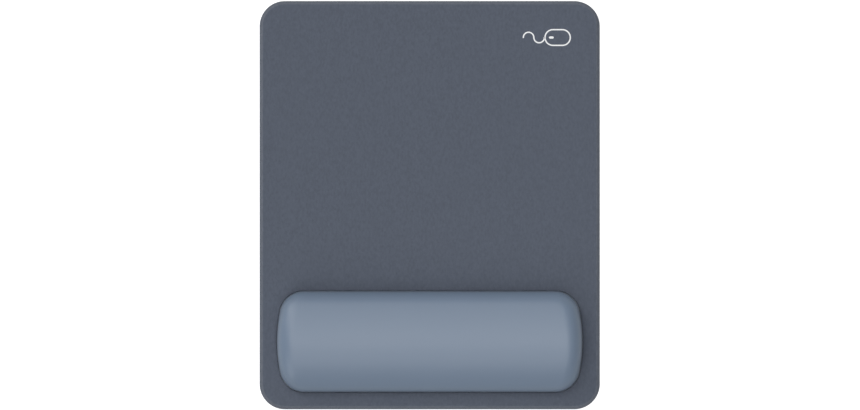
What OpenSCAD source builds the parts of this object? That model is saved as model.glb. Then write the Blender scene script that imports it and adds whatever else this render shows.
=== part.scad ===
// Mouse mat with a built-in wrist rest.
// Origin: centre of the underside. +X is to the right, +Y to the back and +Z up,
// so the rest lies along the front edge, at -Y. All sizes are in millimetres.

/* [Mat] */
// Width of the mat, side to side
mat_w = 210; // [205:1:230]
// Length of the mat, front to back
mat_l = 252; // [230:1:280]
// Radius of the mat's corners
mat_corner_r = 15.6; // [8:0.1:25]
// Width of the bevel pressed round the top edge
bevel_w = 1.85; // [1:0.05:3]
// Height of that bevel
bevel_h = 1.4; // [0.8:0.1:2.5]

/* [Mat layers] */
// Thickness of the rubber backing
backing_t = 1.2; // [0.8:0.1:2]
// Thickness of each laminating film
film_t = 0.1; // [0.1:0.05:0.2]
// Thickness of the foam sheet
foam_t = 3.6; // [3:0.1:5]
// Thickness of the surface fabric
fabric_t = 0.5; // [0.4:0.1:0.7]

/* [Rest seen from above] */
// Length of the rest across its bowed ends
rest_w = 188.4; // [170:0.2:190]
// Depth of the rest, front to back
rest_d = 62; // [56:1:64]
// Radius of the rest's corners
rest_corner_r = 15; // [13:0.1:16]
// Radius of the outward bow of each short end
rest_end_r = 95.8; // [80:0.2:110]
// Distance from the mat's front edge to the middle of the rest
rest_setback = 41.8; // [36:0.2:50]
// Gap between the rest's widest line and the edge of the mat's window
window_gap = 0.6; // [0.4:0.1:1.2]

/* [Rest in section] */
// Radius of the crown, front to back
crown_r = 60; // [55:1:80]
// Radius of the roll that runs down from the crown to the widest line
roll_r = 14.8; // [14:0.2:16]
// Radius of the tuck below the widest line
tuck_r = 3.5; // [3:0.1:4.5]
// Height of the rest's widest line above the mat
tuck_h = 2; // [1:0.1:2.5]
// Radius of the shoulder at each short end
shoulder_r = 9; // [7:0.5:12.5]

/* [Rest layers] */
// Thickness of the cover
cover_t = 0.8; // [0.6:0.1:1.2]
// Width of the hem turned under the plate
hem_w = 12; // [6:0.5:13]
// Thickness of the double-sided tape
tape_t = 0.2; // [0.1:0.05:0.3]
// Thickness of the base plate above the hem
plate_t = 1; // [0.8:0.1:1.5]
// Thickness of the firm lower foam
support_t = 8.5; // [6:0.5:10]

/* [Printed mark] */
// Distance of the mark's middle from the mat's centre line
mark_x = 72.7; // [50:0.1:75]
// Distance of the mark's middle from the mat's back edge
mark_inset = 22.5; // [18:0.5:30]
// Width of the printed line
mark_line_w = 0.8; // [0.5:0.1:1.2]
// Depth that the ink fills in the fabric
ink_t = 0.05; // [0.03:0.01:0.1]

/* [Hidden] */
$fn = 96;
overrun = 1; // how far a cutter runs past what it cuts
roll_cut = 0.3; // how much of each tuck's bulge the rest's outline takes off
crown_clear = 0.5; // how far the shoulders' own tops lie above the crown

// Heights of the mat's layers
film_z = backing_t;
foam_z = film_z + film_t;
foam_top = foam_z + foam_t;
film_top = foam_top + film_t;
mat_top = film_top + fabric_t;

// Heights in the rest, which stands in the mat's window
cover_z = foam_z + tape_t;
plate_z = cover_z + cover_t;
support_z = plate_z + plate_t;
memory_z = support_z + support_t;
widest_z = mat_top + tuck_h;
side_reach = rest_d / 2 + roll_cut;
end_reach = rest_w / 2 + roll_cut;
rest_top = widest_z - cap_centre(0, side_reach, crown_r, roll_r);

rest_y = rest_setback - mat_l / 2;
tuck_in = tuck_r - sqrt(pow(tuck_r, 2) - pow(tuck_h, 2)); // how far the rest pulls in at the mat
corner_x = cap_centre(rest_w / 2, rest_d / 2, rest_end_r, rest_corner_r);

// The pictogram: a mouse's outline, its wheel and a wavy lead
mark_body_w = 16;
mark_body_h = 10.5;
mark_wave_r = 3.25;
mark_wheel_w = 3;
mark_wheel_h = 1.4;

// Distance to a corner arc's centre under a bowed side. The bow reaches `reach`, the side's
// half width is `half_w`, and the corner arcs run into the bow and into the sides beside it.
function cap_centre(reach, half_w, bow_r, corner_r) =
  reach - bow_r + sqrt(pow(bow_r - corner_r, 2) - pow(half_w - corner_r, 2));

// ---------- outlines ----------

module rounded_rect(w, l, r) {
  square([w - 2 * r, l], center = true);
  square([w, l - 2 * r], center = true);
  for (x = [-1, 1], y = [-1, 1])
    translate([x * (w / 2 - r), y * (l / 2 - r)]) circle(r);
}

// A side that bows outwards towards +X between two corner arcs, pulled in by `inset`
module bowed_cap(reach, half_w, bow_r, corner_r, inset) {
  arc_x = cap_centre(reach, half_w, bow_r, corner_r);
  arc_y = half_w - corner_r;
  apex = reach - bow_r;
  spread = 2 * bow_r / norm([arc_x - apex, arc_y]);
  far_x = apex + spread * (arc_x - apex);
  far_y = spread * arc_y;
  intersection() {
    translate([apex, 0]) circle(bow_r - inset);
    polygon([[arc_x, arc_y], [far_x, far_y], [far_x, -far_y], [arc_x, -arc_y]]);
  }
  for (side = [-1, 1])
    translate([arc_x, side * arc_y]) circle(corner_r - inset);
}

// The rest's outline seen from above, pulled in by `inset`
module rest_outline(inset) {
  square([2 * corner_x, rest_d - 2 * inset], center = true);
  for (turn = [0, 180])
    rotate(turn) bowed_cap(rest_w / 2, rest_d / 2, rest_end_r, rest_corner_r, inset);
}

// A slab of the rest's outline between two heights
module rest_slab(inset, bottom, top) {
  translate([0, rest_y, bottom])
    linear_extrude(top - bottom) rest_outline(inset);
}

// ---------- the mat ----------

// The mat's block up to `top`, with the bevel pressed round its upper edge
module bevelled_block(top) {
  straight_w = mat_w - 2 * mat_corner_r;
  straight_l = mat_l - 2 * mat_corner_r;
  linear_extrude(top) square([straight_w, straight_l], center = true);
  for (turn = [0, 180]) {
    rotate(turn) rim_bar(straight_l, straight_w, top);
    rotate(turn + 90) rim_bar(straight_w, straight_l, top);
    rotate(turn) rim_corner(straight_w, straight_l, top);
    rotate(turn + 90) rim_corner(straight_l, straight_w, top);
  }
}

// The rim in section: x runs outwards from the line of the corner centres
module rim_section(top) {
  polygon([
    [0, 0], [mat_corner_r, 0], [mat_corner_r, top - bevel_h],
    [mat_corner_r - bevel_w, top], [0, top]
  ]);
}

module rim_bar(length, across, top) {
  translate([across / 2, length / 2, 0])
    rotate([90, 0, 0]) linear_extrude(length) rim_section(top);
}

module rim_corner(across, length, top) {
  translate([across / 2, length / 2, 0])
    rotate_extrude(angle = 90) rim_section(top);
}

// A sheet pressed over the bevelled foam, with the window for the rest
module pressed_sheet(bottom, top) {
  difference() {
    bevelled_block(top);
    bevelled_block(bottom);
    rest_slab(-window_gap, 0, top + overrun);
  }
}

// ---------- the rest ----------

// The lower part of a section through the rest, pulled in by `inset`: the wall that stands in
// the window, the tuck above it and the space between, up to the widest line
module foot_section(reach, inset) {
  bottom = cover_z + inset;
  wall = reach - tuck_in - inset;
  translate([-wall, bottom]) square([2 * wall, widest_z - bottom]);
  for (side = [-1, 1])
    translate([side * (reach - tuck_r), widest_z]) circle(tuck_r - inset);
}

// Front to back: a bowed top that rolls down to the widest line along both long sides
module crown_section(inset) {
  foot_section(side_reach, inset);
  intersection() {
    translate([0, rest_top]) rotate(90)
      bowed_cap(0, side_reach, crown_r, roll_r, inset);
    translate([-rest_d, widest_z]) square([2 * rest_d, rest_top]);
  }
}

// Side to side: a round shoulder over each short end, open above the crown
module shoulder_section(inset) {
  shoulder_x = end_reach - shoulder_r;
  shoulder_z = rest_top + crown_clear - shoulder_r;
  foot_section(end_reach, inset);
  translate([inset - end_reach, widest_z])
    square([2 * (end_reach - inset), shoulder_z - widest_z]);
  for (side = [-1, 1])
    translate([side * shoulder_x, shoulder_z]) circle(shoulder_r - inset);
  translate([-shoulder_x, widest_z]) square([2 * shoulder_x, rest_top]);
}

// The rest's whole body, pulled in by `inset` on every side: what its outline and both
// sections have in common
module rest_body(inset) {
  intersection() {
    rest_slab(inset, cover_z, 2 * rest_top);
    translate([-rest_w, rest_y, 0]) rotate([90, 0, 90])
      linear_extrude(2 * rest_w) crown_section(inset);
    translate([0, rest_y + rest_d, 0]) rotate([90, 0, 0])
      linear_extrude(2 * rest_d) shoulder_section(inset);
  }
}

// The part of the space inside the cover that lies between two heights
module filling(bottom, top) {
  intersection() {
    rest_body(cover_t);
    translate([-rest_w, rest_y - rest_d, bottom])
      cube([2 * rest_w, 2 * rest_d, top - bottom]);
  }
}

// ---------- the printed mark ----------

module ring_half(r) {
  intersection() {
    difference() {
      circle(r + mark_line_w / 2);
      circle(r - mark_line_w / 2);
    }
    translate([-2 * r, 0]) square([4 * r, 2 * r]);
  }
}

module stadium(w, h) {
  square([w - h, h], center = true);
  for (x = [-1, 1])
    translate([x * (w - h) / 2, 0]) circle(h / 2);
}

module mark_outline() {
  lead_w = 4 * mark_wave_r;
  total_w = mark_body_w + lead_w;
  translate([(total_w - mark_body_w) / 2, 0]) {
    difference() {
      stadium(mark_body_w, mark_body_h);
      stadium(mark_body_w - 2 * mark_line_w, mark_body_h - 2 * mark_line_w);
    }
    translate([-mark_body_w / 4, 0]) stadium(mark_wheel_w, mark_wheel_h);
  }
  translate([mark_wave_r - total_w / 2, 0]) ring_half(mark_wave_r);
  translate([3 * mark_wave_r - total_w / 2, 0]) rotate(180) ring_half(mark_wave_r);
}

module ink(top) {
  translate([mark_x, mat_l / 2 - mark_inset, mat_top - ink_t])
    linear_extrude(top - mat_top + ink_t) mark_outline();
}

// ---------- the pieces, from the bottom up ----------

module grip_backing() {
  color("#1b1c1e") linear_extrude(backing_t) rounded_rect(mat_w, mat_l, mat_corner_r);
}

module backing_film() {
  color("#c9cbc6") translate([0, 0, film_z])
    linear_extrude(film_t) rounded_rect(mat_w, mat_l, mat_corner_r);
}

module foam_sheet() {
  color("#2b2d31") difference() {
    bevelled_block(foam_top);
    translate([-mat_w, -mat_l, -overrun])
      cube([2 * mat_w, 2 * mat_l, foam_z + overrun]);
    rest_slab(-window_gap, 0, foam_top + overrun);
  }
}

module fabric_film() {
  color("#c9cbc6") pressed_sheet(foam_top, film_top);
}

module surface_fabric() {
  color("#585e6a") difference() {
    pressed_sheet(film_top, mat_top);
    ink(mat_top + overrun);
  }
}

module printed_mark() {
  color("#f2f3f4") ink(mat_top);
}

module rest_tape() {
  color("#1d1d1f") rest_slab(tuck_in, foam_z, cover_z);
}

// A plate over the hem, with a boss that fills the space inside the hem
module base_plate() {
  color("#3a3c40") {
    rest_slab(hem_w, cover_z, plate_z);
    rest_slab(tuck_in + cover_t, plate_z, support_z);
  }
}

module support_foam() {
  color("#b9b3a1") filling(support_z, memory_z);
}

module memory_foam() {
  color("#e6dfc6") filling(memory_z, rest_top);
}

module rest_cover() {
  color("#8793a3") difference() {
    rest_body(0);
    rest_body(cover_t);
    rest_slab(hem_w, 0, plate_z);
  }
}

grip_backing();
backing_film();
foam_sheet();
fabric_film();
surface_fabric();
printed_mark();
rest_tape();
base_plate();
support_foam();
memory_foam();
rest_cover();
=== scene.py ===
"""Mouse mat with a built-in wrist rest: knit fabric over foam and rubber, and a satin pillow."""

import math
from collections import namedtuple

import bmesh
import bpy
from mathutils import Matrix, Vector


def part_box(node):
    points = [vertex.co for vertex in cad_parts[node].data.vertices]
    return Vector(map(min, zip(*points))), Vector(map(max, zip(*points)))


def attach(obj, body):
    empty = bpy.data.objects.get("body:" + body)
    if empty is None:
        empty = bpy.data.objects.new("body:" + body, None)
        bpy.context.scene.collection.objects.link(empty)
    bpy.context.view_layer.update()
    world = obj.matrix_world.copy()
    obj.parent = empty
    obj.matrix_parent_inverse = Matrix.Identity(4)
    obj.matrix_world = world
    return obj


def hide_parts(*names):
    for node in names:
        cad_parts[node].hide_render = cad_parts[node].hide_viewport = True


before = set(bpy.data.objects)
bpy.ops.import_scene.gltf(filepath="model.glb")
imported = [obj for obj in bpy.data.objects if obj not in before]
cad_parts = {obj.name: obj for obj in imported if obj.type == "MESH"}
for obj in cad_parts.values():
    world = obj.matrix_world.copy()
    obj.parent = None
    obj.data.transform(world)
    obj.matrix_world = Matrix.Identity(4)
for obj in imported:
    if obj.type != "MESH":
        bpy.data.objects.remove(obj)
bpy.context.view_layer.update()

MM = 0.001
BODY = "root"

# ---------- sizes: the frame's own boxes, and what a box can't say ----------

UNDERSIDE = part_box("grip_backing")[0].z
BACKING_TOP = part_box("grip_backing")[1].z
FOAM_BOTTOM, FOAM_TOP = (corner.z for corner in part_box("foam_sheet"))
FILM_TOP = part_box("fabric_film")[1].z
MAT_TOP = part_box("surface_fabric")[1].z
MAT_HALF_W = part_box("grip_backing")[1].x
MAT_HALF_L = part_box("grip_backing")[1].y
MAT_CORNER_R = 15.6 * MM
BEVEL_W = 1.85 * MM
BEVEL_H = 1.4 * MM

REST_LOW, REST_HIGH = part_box("rest_cover")
REST_Y = (REST_LOW.y + REST_HIGH.y) / 2
REST_HALF_W = REST_HIGH.x
REST_HALF_D = (REST_HIGH.y - REST_LOW.y) / 2
REST_TOP = REST_HIGH.z
REST_BOTTOM = REST_LOW.z
REST_CORNER_R = 15 * MM
REST_END_R = 95.8 * MM

# The window: its gap round the rest in the foam and in the fabric, and how far from the rest and
# from the mat's edge the sheets are flat again
WINDOW_GAP = 0.6 * MM
LIP_GAP = 0.3 * MM
LIP_FLAT = 3 * MM
RIM_FLAT = 4 * MM

# The rest's section, from its widest line up: an upright, a roll, and a crown of two radii
WIDEST_Z = MAT_TOP + 2 * MM
RISE = REST_TOP - WIDEST_Z
TUCK_R = 3.5 * MM
CROWN_BACK_R = 75 * MM
CROWN_FRONT_R = 42 * MM
ROLL_W = 11 * MM
ROLL_POWER = 2.6
ROLL_STEEPNESS = 1.18
BACK_UPRIGHT = 1.5 * MM

# The skin, its hem and what it holds
COVER_T = 0.8 * MM
HEM_W = 12 * MM
HEM_TOP = REST_BOTTOM + COVER_T
PLATE_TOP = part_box("base_plate")[1].z
MEMORY_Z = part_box("memory_foam")[0].z
FOAM_CLEAR = 0.05 * MM

# The camera looks straight down with no perspective, and this much fits across its view
VIEW_WIDTH = 530.9 * MM
VIEW_SHIFT = Vector((0.2, 0.1)) * MM
CAMERA_HEIGHT = 0.9

# Half the floor's side, and how far it lies below the rubber so that the two faces never meet
FLOOR_HALF = 4.0
FLOOR_DROP = 0.05 * MM


# ---------- outlines seen from above ----------

# A point of an outline and its outward normal
Spot = namedtuple("Spot", "x y nx ny")


def arc(cx, cy, radius, start, stop, steps):
    """Spots along an arc from one angle to another, with both ends."""
    spots = []
    for i in range(steps + 1):
        a = start + (stop - start) * i / steps
        nx, ny = math.cos(a), math.sin(a)
        spots.append(Spot(cx + radius * nx, cy + radius * ny, nx, ny))
    return spots


def line(a, b, steps):
    """Spots between two spots of a straight side, without its ends."""
    t = [i / steps for i in range(1, steps)]
    return [Spot(a.x + (b.x - a.x) * k, a.y + (b.y - a.y) * k, a.nx, a.ny) for k in t]


def mat_outline(arc_steps=20, side_steps=10):
    """The mat's rounded rectangle, anticlockwise."""
    cx, cy = MAT_HALF_W - MAT_CORNER_R, MAT_HALF_L - MAT_CORNER_R
    quarter = math.pi / 2
    centres = [(cx, cy), (-cx, cy), (-cx, -cy), (cx, -cy)]
    corners = [
        arc(x, y, MAT_CORNER_R, i * quarter, (i + 1) * quarter, arc_steps)
        for i, (x, y) in enumerate(centres)
    ]
    spots = []
    for i, corner in enumerate(corners):
        following = corners[(i + 1) % 4]
        spots += corner + line(corner[-1], following[0], side_steps)
    return spots


# The rest's corner arcs run into straight long sides and into ends that bow outwards
BOW_X = REST_HALF_W - REST_END_R
CORNER_Y = REST_HALF_D - REST_CORNER_R
CORNER_X = BOW_X + math.sqrt((REST_END_R - REST_CORNER_R) ** 2 - CORNER_Y**2)
BOW_ANGLE = math.atan2(CORNER_Y, CORNER_X - BOW_X)


def rest_outline(corner_steps=20, bow_steps=14, side_steps=64):
    """The rest's outline about its own middle, anticlockwise from the right-hand end."""
    quarter = math.pi / 2
    upper = arc(CORNER_X, CORNER_Y, REST_CORNER_R, BOW_ANGLE, quarter, corner_steps)
    bow = arc(BOW_X, 0, REST_END_R, -BOW_ANGLE, BOW_ANGLE, bow_steps)[1:-1]
    lower = [s._replace(y=-s.y, ny=-s.ny) for s in reversed(upper)]
    right = lower + bow + upper
    left = [Spot(-s.x, -s.y, -s.nx, -s.ny) for s in right]
    back = line(right[-1], left[0], side_steps)
    front = line(left[-1], right[0], side_steps)
    return right + back + left + front


def nearest_rim(x, y):
    """How far inside the rest's outline a point lies, and the y of the outline's nearest point."""
    dx, dy = abs(x) - CORNER_X, abs(y) - CORNER_Y
    turn = math.atan2(dy, dx)
    if BOW_ANGLE < turn <= math.pi / 2:
        rim_y = CORNER_Y + REST_CORNER_R * math.sin(turn)
        return REST_CORNER_R - math.hypot(dx, dy), math.copysign(rim_y, y)
    from_bow = math.hypot(abs(x) - BOW_X, y)
    if REST_HALF_D - abs(y) < REST_END_R - from_bow:
        return REST_HALF_D - abs(y), math.copysign(REST_HALF_D, y)
    return REST_END_R - from_bow, y / from_bow * REST_END_R


def soften(path, radius, steps=4):
    """A path with each inner corner rounded, starting up to `radius` away from it."""
    path = [Vector(p) for p in path]
    out = [path[0]]
    for before, corner, after in zip(path, path[1:], path[2:]):
        reach_in = min(radius, (before - corner).length / 2)
        reach_out = min(radius, (after - corner).length / 2)
        start = corner + (before - corner).normalized() * reach_in
        stop = corner + (after - corner).normalized() * reach_out
        for i in range(steps + 1):
            t = i / steps
            out.append(start * (1 - t) ** 2 + corner * 2 * t * (1 - t) + stop * t * t)
    return out + [path[-1]]


# ---------- mesh building ----------


def add_ring(bm, points):
    """A new vertex at each point, in order."""
    return [bm.verts.new(p) for p in points]


def bridge(bm, rings, material=0):
    """Quads between each ring of vertices and the next."""
    for a, b in zip(rings, rings[1:]):
        for i in range(len(a)):
            j = (i + 1) % len(a)
            bm.faces.new((a[i], a[j], b[j], b[i])).material_index = material


def fill_flat(bm, *loops):
    """Flat faces over one closed loop, or between an outer loop and the loops inside it."""
    edges = []
    for loop in loops:
        for i, v in enumerate(loop):
            w = loop[(i + 1) % len(loop)]
            edges.append(bm.edges.get((v, w)) or bm.edges.new((v, w)))
    made = bmesh.ops.triangle_fill(bm, edges=edges, use_beauty=True)["geom"]
    for face in made:
        if isinstance(face, bmesh.types.BMFace):
            face.smooth = False


def finish_mesh(name, bm, materials):
    """Turns a bmesh into a piece that rides on the body."""
    bmesh.ops.recalc_face_normals(bm, faces=bm.faces)
    mesh = bpy.data.meshes.new(name)
    bm.to_mesh(mesh)
    bm.free()
    for m in materials:
        mesh.materials.append(m)
    piece = bpy.data.objects.new(name, mesh)
    bpy.context.scene.collection.objects.link(piece)
    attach(piece, BODY)
    return piece


def smooth_all(bm):
    """Shades every face made so far as one smooth surface."""
    for face in bm.faces:
        face.smooth = True


def outer_ring(bm, outline, inset, z):
    """The mat's outline as vertices, pulled in by `inset`."""
    return add_ring(bm, [(s.x - s.nx * inset, s.y - s.ny * inset, z) for s in outline])


def window_ring(bm, outline, outset, z):
    """The rest's outline as vertices in its place on the mat, pushed out by `outset`."""
    return add_ring(bm, [(s.x + s.nx * outset, REST_Y + s.y + s.ny * outset, z) for s in outline])


def windowed_sheet(bm, rim_path, lip_path, rim_bands=()):
    """A sheet of the mat's outline with the rest's window. rim_path holds (inset, z) from the
    flat top, round the rim, to the flat underside, and lip_path holds (outset, z) likewise."""
    edge, window = mat_outline(), rest_outline()
    rim = [outer_ring(bm, edge, inset, z) for inset, z in rim_path]
    lip = [window_ring(bm, window, outset, z) for outset, z in lip_path]
    for i in range(len(rim) - 1):
        bridge(bm, rim[i : i + 2], 1 if i in rim_bands else 0)
    bridge(bm, lip)
    smooth_all(bm)
    fill_flat(bm, rim[0], lip[0])
    fill_flat(bm, rim[-1], lip[-1])


# ---------- the rest's form ----------


def crown_drop(y):
    """How far the crown lies below its ridge. It falls more gently at the back."""
    radius = CROWN_BACK_R if y > 0 else CROWN_FRONT_R
    return radius - math.sqrt(radius**2 - y**2)


def soft_min(a, b, blend=1.5 * MM):
    """The smaller of two lengths, rounded off where they are about equal."""
    overlap = max(blend - abs(a - b), 0) / blend
    return min(a, b) - overlap**2 * blend / 4


def roll_size(rim_y):
    """Width and steepness of the roll round the crown's edge, which takes the height that the
    crown leaves. It is taller than wide, except along the front. Along the back, the skin stands
    upright under it."""
    left_over = RISE - crown_drop(rim_y) - (BACK_UPRIGHT if rim_y > 0 else 0)
    frontness = max(0.0, -rim_y / REST_HALF_D)
    steepness = ROLL_STEEPNESS + (1 - ROLL_STEEPNESS) * frontness
    return soft_min(ROLL_W, left_over / steepness), steepness


def skin_height(x, y):
    """The crown less the roll, whose section is a superellipse that starts gently."""
    distance, rim_y = nearest_rim(x, y)
    width, steepness = roll_size(rim_y)
    into_roll = min(1.0, max(0.0, 1 - distance / width))
    roll = steepness * width * (1 - (1 - into_roll**ROLL_POWER) ** (1 / ROLL_POWER))
    return REST_TOP - crown_drop(y) - roll


def resample(path, count):
    """The path again with `count` points evenly spaced along it."""
    lengths = [0.0]
    for a, b in zip(path, path[1:]):
        lengths.append(lengths[-1] + (b - a).length)
    out, k = [], 0
    for i in range(count):
        at = lengths[-1] * i / (count - 1)
        while k < len(path) - 2 and lengths[k + 1] < at:
            k += 1
        span = lengths[k + 1] - lengths[k]
        t = (at - lengths[k]) / span if span else 0.0
        out.append(path[k].lerp(path[k + 1], t))
    return out


def inset_spot(spot, inset, z):
    """A point at the height z, as far inside a spot of the outline as `inset` says."""
    return Vector((spot.x - spot.nx * inset, spot.y - spot.ny * inset, z))


def crown_path(spot, count=56, samples=160):
    """From the ridge over the crown and the roll, and down the upright, to the widest line."""
    ridge_x = max(-CORNER_X, min(CORNER_X, spot.x))
    path = []
    for i in range(samples + 1):
        share = 1 - (1 - i / samples) ** 2
        x, y = ridge_x + (spot.x - ridge_x) * share, spot.y * share
        path.append(Vector((x, y, skin_height(x, y))))
    path.append(inset_spot(spot, 0, WIDEST_Z))
    return resample(path, count)


def foot_path(spot, count=14, samples=8):
    """From the widest line, in under the roll, and down the wall in the window to the hem."""
    drop = math.asin((WIDEST_Z - MAT_TOP) / TUCK_R)
    path = []
    for i in range(samples + 1):
        a = drop * i / samples
        path.append(inset_spot(spot, TUCK_R * (1 - math.cos(a)), WIDEST_Z - TUCK_R * math.sin(a)))
    path.append(inset_spot(spot, tuck_in(), REST_BOTTOM))
    return resample(path, count)


def tuck_in():
    """How far the skin's wall stands in from the widest line."""
    return TUCK_R - math.sqrt(TUCK_R**2 - (WIDEST_Z - MAT_TOP) ** 2)


def skin_paths():
    """For each spot of the outline, the outside of the skin from the ridge to the hem's fold."""
    return [crown_path(s) + foot_path(s)[1:] for s in rest_outline()]


def inner_paths(paths, thickness):
    """The same paths moved inwards, square to the skin, by `thickness`."""
    moved = []
    for j, path in enumerate(paths):
        before, after = paths[j - 1], paths[(j + 1) % len(paths)]
        inner = [path[0] - Vector((0, 0, thickness))]
        for i in range(1, len(path)):
            along = after[i] - before[i]
            down = path[min(i + 1, len(path) - 1)] - path[i - 1]
            inner.append(path[i] - down.cross(along).normalized() * thickness)
        moved.append(inner)
    return moved


def add_paths(bm, paths):
    """Quads between neighbouring paths, which all have the same number of points."""
    lift = Vector((0, REST_Y, 0))
    rings = [add_ring(bm, [p + lift for p in ring]) for ring in zip(*paths)]
    bridge(bm, rings)
    smooth_all(bm)
    bmesh.ops.remove_doubles(bm, verts=bm.verts, dist=1e-6)


# ---------- node materials ----------


class Shader:
    """A procedural material with its Principled shader and a few short ways to add nodes."""

    def __init__(self, name, roughness, specular=0.5):
        self.material = bpy.data.materials.new(name)
        self.material.use_nodes = True
        self.nodes = self.material.node_tree.nodes
        self.links = self.material.node_tree.links
        self.shader = self.nodes["Principled BSDF"]
        self.shader.inputs["Roughness"].default_value = roughness
        self.shader.inputs["Specular IOR Level"].default_value = specular
        self.place = self.nodes.new("ShaderNodeTexCoord").outputs["Object"]

    def set(self, name, value):
        """Sets one input of the Principled shader."""
        self.shader.inputs[name].default_value = value

    def join(self, value, socket):
        """Feeds an input from a node's output or from a plain number."""
        if isinstance(value, bpy.types.NodeSocket):
            self.links.new(value, socket)
        else:
            socket.default_value = value

    def math(self, operation, a, b=0.0, c=0.0):
        """A Math node's output."""
        node = self.nodes.new("ShaderNodeMath")
        node.operation = operation
        for value, socket in zip((a, b, c), node.inputs):
            self.join(value, socket)
        return node.outputs[0]

    def axes(self):
        """The place on the object as separate X, Y and Z, in metres."""
        node = self.nodes.new("ShaderNodeSeparateXYZ")
        self.links.new(self.place, node.inputs[0])
        return node.outputs

    def noise(self, size, detail=2.0, roughness=0.5, stretch=1.0):
        """Noise from 0 to 1 whose features are about `size` metres across, and longer along Y
        by the factor `stretch`."""
        squeeze = self.nodes.new("ShaderNodeVectorMath")
        squeeze.operation = "MULTIPLY"
        squeeze.inputs[1].default_value = (1, 1 / stretch, 1)
        self.links.new(self.place, squeeze.inputs[0])
        node = self.nodes.new("ShaderNodeTexNoise")
        node.inputs["Scale"].default_value = 1 / size
        node.inputs["Detail"].default_value = detail
        node.inputs["Roughness"].default_value = roughness
        self.links.new(squeeze.outputs[0], node.inputs["Vector"])
        return node.outputs["Fac"]

    def cells(self, size):
        """Distance to the nearest of the points scattered about `size` metres apart."""
        node = self.nodes.new("ShaderNodeTexVoronoi")
        node.inputs["Scale"].default_value = 1 / size
        self.links.new(self.place, node.inputs["Vector"])
        return node.outputs["Distance"]

    def spread(self, value, low, high):
        """Carries a value from 0 to 1 over to the range from low to high."""
        return self.math("MULTIPLY_ADD", value, high - low, low)

    def colour(self, base, factor):
        """The base colour times a factor that may come from nodes."""
        node = self.nodes.new("ShaderNodeVectorMath")
        node.operation = "SCALE"
        node.inputs[0].default_value = base
        self.join(factor, node.inputs["Scale"])
        self.links.new(node.outputs[0], self.shader.inputs["Base Color"])

    def bump(self, height, depth):
        """Relief `depth` metres deep where the height goes from 0 to 1."""
        node = self.nodes.new("ShaderNodeBump")
        node.inputs["Distance"].default_value = depth
        self.links.new(height, node.inputs["Height"])
        self.links.new(node.outputs[0], self.shader.inputs["Normal"])

    def roughen(self, value, low, high):
        """Roughness that goes from low to high with a value from 0 to 1."""
        self.links.new(self.spread(value, low, high), self.shader.inputs["Roughness"])


def knit_height(s, wale=0.42 * MM, course=0.33 * MM):
    """Rows of small V-shaped loops: columns of stitches whose rows dip in their middles."""
    x, y, _ = s.axes()
    column = s.math("FRACT", s.math("DIVIDE", x, wale))
    slant = s.math("ABSOLUTE", s.math("MULTIPLY_ADD", column, 2, -1))
    row = s.math("MULTIPLY_ADD", slant, 0.4, s.math("DIVIDE", y, course))
    loop = s.math("MULTIPLY_ADD", s.math("COSINE", s.math("MULTIPLY", row, 2 * math.pi)), 0.5, 0.5)
    rib = s.math("SINE", s.math("MULTIPLY", column, math.pi))
    return s.math("MULTIPLY", s.math("SQRT", rib), s.math("MULTIPLY_ADD", loop, 0.6, 0.4))


def knit_material(name, base, pressed):
    """Matte polyester knit. Pressed knit is flatter, a little smoother, and paler: partly its own
    tone, partly painted sheen.
    """
    s = Shader(name, 0.85, 0.05 if pressed else 0.5)
    knit = knit_height(s)
    melange = s.spread(s.noise(1.2 * MM, 3, 0.6, stretch=1.8), 0.75, 1.25)
    shade = s.spread(s.noise(25 * MM), 0.985, 1.015)
    loops = s.spread(knit, 0.95, 1.07)
    s.colour(base, s.math("MULTIPLY", loops, s.math("MULTIPLY", melange, shade)))
    s.bump(knit, (0.03 if pressed else 0.07) * MM)
    s.roughen(knit, 0.6 if pressed else 0.95, 0.7 if pressed else 0.8)
    s.set("Sheen Weight", 0.1)
    s.set("Sheen Roughness", 0.5)
    return s.material


def skin_material(name, base):
    """Smooth satin coated skin with a very fine grain."""
    s = Shader(name, 0.4, 0.6)
    grain = s.math("ADD", s.cells(0.28 * MM), s.noise(0.5 * MM, 3))
    clouds = s.noise(22 * MM, 3)
    s.colour(base, s.math("MULTIPLY", s.spread(grain, 0.985, 1.01), s.spread(clouds, 0.98, 1.02)))
    s.bump(grain, 0.006 * MM)
    s.roughen(clouds, 0.37, 0.43)
    s.set("Sheen Weight", 0.06)
    s.set("Sheen Roughness", 0.4)
    return s.material


def foam_material(name, base, pore, roughness=0.9):
    """Cut foam: round pores with painted shade inside them."""
    s = Shader(name, roughness, 0.2)
    pores = s.cells(pore)
    # The pores are painted darker towards their middles, as shade inside them
    painted_pore_shade = s.spread(pores, 0.72, 1.15)
    blotches = s.spread(s.noise(6 * pore), 0.94, 1.06)
    s.colour(base, s.math("MULTIPLY", painted_pore_shade, blotches))
    s.bump(pores, 0.25 * pore)
    return s.material


def rubber_material(name, base):
    """Black moulded rubber, dull, with a fine sandy surface."""
    s = Shader(name, 0.75, 0.35)
    sand = s.noise(0.25 * MM, 4, 0.7)
    grains = s.spread(sand, 0.85, 1.15)
    blotches = s.spread(s.noise(18 * MM), 0.93, 1.07)
    s.colour(base, s.math("MULTIPLY", grains, blotches))
    s.bump(sand, 0.03 * MM)
    s.roughen(sand, 0.66, 0.86)
    return s.material


def plastic_material(name, base, roughness, grain=0.4 * MM):
    """Moulded or rolled sheet plastic with a fine even grain."""
    s = Shader(name, roughness, 0.45)
    fine = s.noise(grain, 3)
    grains = s.spread(fine, 0.95, 1.05)
    blotches = s.spread(s.noise(30 * MM), 0.97, 1.03)
    s.colour(base, s.math("MULTIPLY", grains, blotches))
    s.bump(fine, 0.01 * MM)
    s.roughen(fine, roughness - 0.06, roughness + 0.06)
    return s.material


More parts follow.
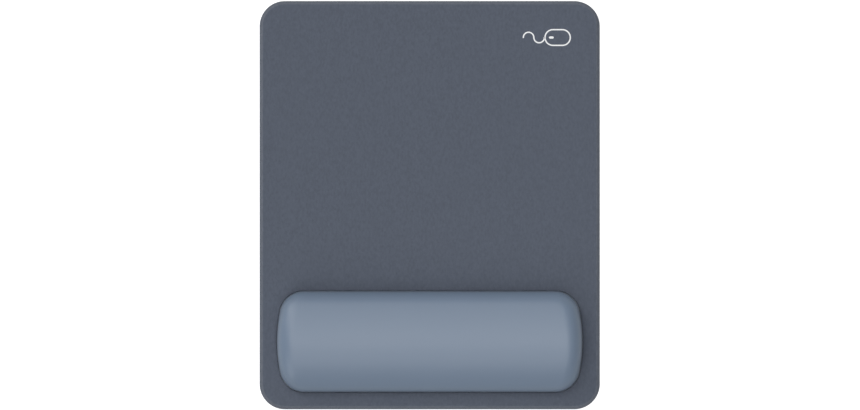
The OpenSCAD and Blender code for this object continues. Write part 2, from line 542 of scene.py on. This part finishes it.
def ink_material(name, base):
    """Matte screen print that lets the knit show through a little."""
    s = Shader(name, 0.6, 0.4)
    knit = knit_height(s)
    loops = s.spread(knit, 0.94, 1.02)
    blotches = s.spread(s.noise(0.6 * MM), 0.97, 1.02)
    s.colour(base, s.math("MULTIPLY", loops, blotches))
    s.bump(knit, 0.02 * MM)
    return s.material


# ---------- colours and light ----------

FABRIC_COLOUR = (0.082, 0.097, 0.13)
# The pressed rim's colour is paler than the knit's: partly its own tone, partly a painted sheen
RIM_COLOUR_WITH_PAINTED_SHEEN = (0.121, 0.135, 0.164)
SKIN_COLOUR = (0.152, 0.203, 0.28)
INK_COLOUR = (0.86, 0.87, 0.88)
FOAM_COLOUR = (0.022, 0.024, 0.029)
RUBBER_COLOUR = (0.016, 0.017, 0.018)
FILM_COLOUR = (0.49, 0.55, 0.62)
TAPE_COLOUR = (0.012, 0.012, 0.013)
PLATE_COLOUR = (0.045, 0.048, 0.055)
SUPPORT_COLOUR = (0.42, 0.39, 0.31)
MEMORY_COLOUR = (0.72, 0.66, 0.50)
FLOOR_COLOUR = (0.65, 0.65, 0.65)
FLOOR_GLOW = 0.8

# Key lamps above and at the back left, and fill lamps in front, all far away and so wide that
# they are soft. Each has its tilt from straight above, its bearing anticlockwise from +X, both in
# degrees like the width, and its strength
KEY_LIGHT = 0.7
FILL_LIGHT = 0.45
LAMP_WIDTH = 30
LAMPS = {
    "overhead": (0, 0, KEY_LIGHT),
    "back_left": (30, 120, KEY_LIGHT),
    "low_back_left": (60, 135, KEY_LIGHT),
    "front": (30, 270, FILL_LIGHT),
    "low_front_left": (60, 240, FILL_LIGHT),
}
# The room gives a flat face what the lamps leave of an even light of 1
ON_A_FLAT_FACE = sum(
    strength * math.cos(math.radians(tilt)) for tilt, _, strength in LAMPS.values()
)
ROOM_GLOW = 1 - ON_A_FLAT_FACE / math.pi


# ---------- the mat ----------


def make_fabric():
    """The knit sheet: a flat top, the pressed bevel and its cut edge, and the window's lip, which
    sinks a little towards the rest."""
    thickness = MAT_TOP - FILM_TOP
    sink_start, sink_slight, sink_full = 0.9 * MM, 0.02 * MM, 0.12 * MM
    rim = soften(
        [
            (RIM_FLAT, MAT_TOP), (BEVEL_W, MAT_TOP), (0, MAT_TOP - BEVEL_H),
            (0, FILM_TOP - BEVEL_H), (BEVEL_W, FILM_TOP), (RIM_FLAT, FILM_TOP),
        ],
        0.22 * MM,
    )
    lip = soften(
        [
            (LIP_FLAT, MAT_TOP), (sink_start, MAT_TOP - sink_slight),
            (LIP_GAP, MAT_TOP - sink_full), (LIP_GAP, FILM_TOP), (LIP_FLAT, FILM_TOP),
        ],
        0.18 * MM,
    )
    bm = bmesh.new()
    rim_bands = [
        i for i, p in enumerate(rim) if p.x < BEVEL_W + thickness and p.y > FILM_TOP - BEVEL_H
    ]
    windowed_sheet(bm, rim, lip, rim_bands)
    knit = knit_material("mat_knit", FABRIC_COLOUR, pressed=False)
    # The bevel gets the pressed knit, whose paler colour partly paints a sheen
    pressed = knit_material("mat_pressed_rim_painted_sheen", RIM_COLOUR_WITH_PAINTED_SHEEN, pressed=True)
    piece = finish_mesh("mat_surface_fabric", bm, [knit, pressed])
    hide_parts("surface_fabric")


def make_foam():
    """The foam sheet. Its cut sides pull in a little between the fabric and the backing."""
    waist = 0.15 * MM
    rim = soften(
        [
            (RIM_FLAT, FOAM_TOP), (BEVEL_W, FOAM_TOP), (0, FOAM_TOP - BEVEL_H),
            (waist, (FOAM_TOP - BEVEL_H + FOAM_BOTTOM) / 2),
            (0, FOAM_BOTTOM), (RIM_FLAT, FOAM_BOTTOM),
        ],
        0.3 * MM,
    )
    lip = soften(
        [
            (LIP_FLAT, FOAM_TOP), (WINDOW_GAP, FOAM_TOP),
            (WINDOW_GAP, FOAM_BOTTOM), (LIP_FLAT, FOAM_BOTTOM),
        ],
        0.15 * MM,
    )
    bm = bmesh.new()
    windowed_sheet(bm, rim, lip)
    material = foam_material("mat_foam_cut", FOAM_COLOUR, 0.35 * MM)
    piece = finish_mesh("mat_foam_core", bm, [material])
    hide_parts("foam_sheet")


def hexagon(x, y, radius, z):
    """Corners of a hexagon with one corner towards +X."""
    turns = [i * math.pi / 3 for i in range(6)]
    return [(x + radius * math.cos(a), y + radius * math.sin(a), z) for a in turns]


def inside_mat(x, y, margin):
    """Whether a point lies inside the mat's outline with that much to spare."""
    dx = max(0.0, abs(x) - (MAT_HALF_W - MAT_CORNER_R))
    dy = max(0.0, abs(y) - (MAT_HALF_L - MAT_CORNER_R))
    return math.hypot(dx, dy) <= MAT_CORNER_R - margin


def grip_cells(bm, pitch=5.2 * MM, ridge=0.9 * MM, depth=0.35 * MM, border=3 * MM):
    """Hexagonal hollows in the underside, with flat ridges between them and a plain border."""
    radius = pitch / math.sqrt(3)
    hollow = radius - ridge / math.sqrt(3)
    columns, rows = int(MAT_HALF_W / (1.5 * radius)), int(MAT_HALF_L / pitch) + 1
    for i in range(-columns, columns + 1):
        for j in range(-rows, rows + 1):
            x, y = 1.5 * radius * i, pitch * (j + 0.5 * (i % 2))
            if not inside_mat(x, y, radius + border):
                continue
            rings = [
                hexagon(x, y, radius, UNDERSIDE),
                hexagon(x, y, hollow, UNDERSIDE),
                hexagon(x, y, hollow - 0.6 * depth, UNDERSIDE + depth),
            ]
            rings = [add_ring(bm, ring) for ring in rings]
            bridge(bm, rings)
            bm.faces.new(rings[-1])
    bmesh.ops.remove_doubles(bm, verts=bm.verts, dist=0.01 * MM)


def boundary_loop(bm):
    """The vertices round the open edge of the cells, in order."""
    edges = [e for e in bm.edges if e.is_boundary]
    start = edges[0].verts[0]
    loop, came = [start], None
    while True:
        edge = next(e for e in loop[-1].link_edges if e.is_boundary and e is not came)
        came = edge
        following = edge.other_vert(loop[-1])
        if following is start:
            return loop
        loop.append(following)


def make_backing():
    """The rubber sheet, with a plain border round its grip relief."""
    flat = 2 * MM  # width of the band between the rounded edge and the flat faces
    bm = bmesh.new()
    grip_cells(bm)
    inner = boundary_loop(bm)
    outline = mat_outline()
    corners = [(flat, BACKING_TOP), (0, BACKING_TOP), (0, UNDERSIDE), (flat, UNDERSIDE)]
    path = soften(corners, 0.25 * MM)
    rings = [outer_ring(bm, outline, inset, z) for inset, z in path]
    bridge(bm, rings)
    fill_flat(bm, rings[0])
    fill_flat(bm, rings[-1], inner)
    material = rubber_material("backing_rubber", RUBBER_COLOUR)
    piece = finish_mesh("mat_grip_backing", bm, [material])
    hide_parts("grip_backing")


# ---------- the rest ----------


# How far up the wall the hem's fold reaches, outside and inside, and the wall's step above it
FOLD_OUTSIDE = 0.8 * MM
FOLD_INSIDE = 0.6 * MM
FOLD_STEP = 0.1 * MM


def hem_path(spot):
    """From the wall's foot, in under the plate, and back out along the hem's upper face."""
    wall = tuck_in()
    corners = [
        (wall, REST_BOTTOM + FOLD_OUTSIDE), (wall, REST_BOTTOM), (HEM_W, REST_BOTTOM),
        (HEM_W, HEM_TOP), (wall + COVER_T, HEM_TOP), (wall + COVER_T, HEM_TOP + FOLD_INSIDE),
    ]
    return [inset_spot(spot, *p) for p in soften(corners, 0.3 * MM)]


def above(path, z, count):
    """The part of a falling path above the height z, as `count` points."""
    return resample([p for p in path if p.z > z], count)


def make_cover(outer_count=68, inner_count=48):
    """The skin: outside, turned-under hem and inside as one closed shell."""
    outside = skin_paths()
    inside = inner_paths(outside, COVER_T)
    paths = []
    for spot, outer, inner in zip(rest_outline(), outside, inside):
        outer = above(outer, REST_BOTTOM + FOLD_OUTSIDE + FOLD_STEP, outer_count)
        inner = above(inner, HEM_TOP + FOLD_INSIDE + FOLD_STEP, inner_count)
        paths.append(outer + hem_path(spot) + inner[::-1])
    bm = bmesh.new()
    add_paths(bm, paths)
    material = skin_material("rest_satin_skin", SKIN_COLOUR)
    piece = finish_mesh("rest_cover_skin", bm, [material])
    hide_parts("rest_cover")


def layer_path(path, low, high):
    """A falling path between two heights, closed flat to the ridge where it is cut."""
    inside = [p for p in path if low < p.z < high]
    top = [Vector((path[0].x, path[0].y, high)), cut_at(path, high)] if path[0].z > high else []
    bottom = [cut_at(path, low), Vector((path[0].x, path[0].y, low))]
    return top + inside + bottom


def cut_at(path, z):
    """Where a falling path passes the height z."""
    for a, b in zip(path, path[1:]):
        if a.z >= z >= b.z:
            return a.lerp(b, (a.z - z) / (a.z - b.z))
    return path[-1]


def make_filling(name, low, high, node, material, count=48):
    """One layer of the pillow's foam, just clear of the skin round it."""
    inside = inner_paths(skin_paths(), COVER_T + FOAM_CLEAR)
    bm = bmesh.new()
    add_paths(bm, [resample(layer_path(path, low, high), count) for path in inside])
    piece = finish_mesh(name, bm, [material])
    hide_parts(node)


# ---------- the printed mark ----------


def ribbon(bm, points, width, low, high, closed=False):
    """A flat printed line along points, with round ends where it is open."""
    points = [Vector(p) for p in points]
    count = len(points)
    left, right = [], []
    for i, p in enumerate(points):
        before = points[i - 1] if closed or i else p
        after = points[(i + 1) % count] if closed or i < count - 1 else p
        across = (after - before).normalized().orthogonal() * width / 2
        left.append(p + across)
        right.append(p - across)
    if closed:
        outline = [left, right]
        rings = [[add_ring(bm, [(*p, z) for p in loop]) for z in (low, high)] for loop in outline]
        bridge(bm, [rings[0][0], rings[0][1], rings[1][1], rings[1][0], rings[0][0]])
        return
    tip = round_tip(points[-1], points[-1] - points[-2], width / 2)
    tail = round_tip(points[0], points[0] - points[1], width / 2)
    loop = right + tip + left[::-1] + tail
    rings = [add_ring(bm, [(*p, z) for p in loop]) for z in (low, high)]
    bridge(bm, rings)
    fill_flat(bm, rings[0])
    fill_flat(bm, rings[1])


def round_tip(centre, direction, radius, steps=6):
    """Points round the end of a line, without the two that the line's own sides give."""
    start = math.atan2(direction.y, direction.x) - math.pi / 2
    turns = [start + math.pi * i / steps for i in range(1, steps)]
    return [centre + Vector((math.cos(a), math.sin(a))) * radius for a in turns]


def make_mark():
    """A generic pictogram: a mouse's outline with its wheel, and a wavy lead."""
    low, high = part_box("printed_mark")
    middle = Vector(((low.x + high.x) / 2, (low.y + high.y) / 2))
    line_w, wheel_w, wheel_reach = 0.8 * MM, 1.4 * MM, 0.8 * MM
    wave_r = 3.25 * MM
    ink_t = 0.03 * MM
    body_r = (high.y - low.y) / 2 - line_w / 2
    nose_x, tail_x = low.x + 4 * wave_r + line_w / 2, high.x - line_w / 2
    bottom, top = MAT_TOP, MAT_TOP + ink_t
    bm = bmesh.new()
    centres = ((tail_x - body_r, -math.pi / 2), (nose_x + body_r, math.pi / 2))
    body = []
    for cx, start in centres:
        body += [(s.x, s.y) for s in arc(cx, middle.y, body_r, start, start + math.pi, 20)]
    ribbon(bm, body, line_w, bottom, top, closed=True)
    crest = arc(low.x + wave_r, middle.y, wave_r, math.pi, 0, 16)
    trough = arc(low.x + 3 * wave_r, middle.y, wave_r, math.pi, 2 * math.pi, 16)
    lead = [(s.x, s.y) for s in crest + trough[1:]]
    ribbon(bm, lead, line_w, bottom, top)
    wheel_x = nose_x + 0.25 * (tail_x - nose_x)
    wheel = [(wheel_x + step * wheel_reach, middle.y) for step in (-1, 0, 1)]
    ribbon(bm, wheel, wheel_w, bottom, top)
    material = ink_material("white_ink", INK_COLOUR)
    piece = finish_mesh("mat_printed_mark", bm, [material])
    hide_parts("printed_mark")


# ---------- nodes kept from the frame ----------


def dress(node, material):
    """Gives a kept CAD node its procedural material."""
    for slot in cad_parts[node].material_slots:
        slot.material = material


# ---------- stage, light and camera ----------


def make_floor():
    """A pale matte floor that looks lit from within, but gives no light to the object."""
    bm = bmesh.new()
    corners = ((-1, -1), (1, -1), (1, 1), (-1, 1))
    bm.faces.new(add_ring(bm, [(x * FLOOR_HALF, y * FLOOR_HALF, 0) for x, y in corners]))
    mesh = bpy.data.meshes.new("floor")
    bm.to_mesh(mesh)
    bm.free()
    s = Shader("floor_light_table", 0.9, 0.0)
    s.colour(FLOOR_COLOUR, s.spread(s.noise(60 * MM), 0.995, 1.0))
    s.set("Emission Color", (1, 1, 1, 1))
    seen = s.nodes.new("ShaderNodeLightPath").outputs["Is Camera Ray"]
    s.join(s.math("MULTIPLY", seen, FLOOR_GLOW), s.shader.inputs["Emission Strength"])
    mesh.materials.append(s.material)
    floor = bpy.data.objects.new("floor", mesh)
    floor.location.z = UNDERSIDE - FLOOR_DROP
    bpy.context.scene.collection.objects.link(floor)


def make_light():
    """Soft lamps above, mostly to the left and back, in a dim even room behind a white backdrop."""
    for name, (tilt, bearing, strength) in LAMPS.items():
        lamp = bpy.data.lights.new(name, "SUN")
        lamp.energy = strength
        lamp.angle = math.radians(LAMP_WIDTH)
        light = bpy.data.objects.new(name, lamp)
        light.rotation_euler = (0, math.radians(tilt), math.radians(bearing))
        bpy.context.scene.collection.objects.link(light)

    world = bpy.data.worlds.new("white_room")
    bpy.context.scene.world = world
    world.use_nodes = True
    nodes, links = world.node_tree.nodes, world.node_tree.links
    room = nodes["Background"]
    room.inputs["Color"].default_value = (1, 1, 1, 1)
    room.inputs["Strength"].default_value = ROOM_GLOW
    backdrop = nodes.new("ShaderNodeBackground")
    backdrop.inputs["Color"].default_value = (1, 1, 1, 1)
    seen = nodes.new("ShaderNodeLightPath")
    mix = nodes.new("ShaderNodeMixShader")
    links.new(seen.outputs["Is Camera Ray"], mix.inputs["Fac"])
    links.new(room.outputs[0], mix.inputs[1])
    links.new(backdrop.outputs[0], mix.inputs[2])
    links.new(mix.outputs[0], nodes["World Output"].inputs["Surface"])


def make_camera():
    """A camera straight above, with no perspective, and plain colours."""
    data = bpy.data.cameras.new("camera")
    data.type = "ORTHO"
    data.ortho_scale = VIEW_WIDTH
    camera = bpy.data.objects.new("camera", data)
    camera.location = (VIEW_SHIFT.x, VIEW_SHIFT.y, CAMERA_HEIGHT)
    bpy.context.scene.collection.objects.link(camera)
    bpy.context.scene.camera = camera
    view = bpy.context.scene.view_settings
    view.view_transform = "Standard"
    view.look = "None"


make_camera()
make_light()
make_floor()
make_fabric()
make_foam()
make_backing()
make_mark()
make_cover()
make_filling(
    "rest_memory_foam", MEMORY_Z, REST_TOP, "memory_foam",
    foam_material("memory_foam_cells", MEMORY_COLOUR, 0.5 * MM),
)
make_filling(
    "rest_support_foam", PLATE_TOP, MEMORY_Z, "support_foam",
    foam_material("support_foam_cells", SUPPORT_COLOUR, 0.8 * MM),
)
dress("backing_film", plastic_material("backing_film_melt", FILM_COLOUR, 0.4))
dress("fabric_film", plastic_material("fabric_film_melt", FILM_COLOUR, 0.4))
dress("rest_tape", plastic_material("tape_adhesive", TAPE_COLOUR, 0.35))
dress("base_plate", plastic_material("plate_polypropylene", PLATE_COLOUR, 0.5))
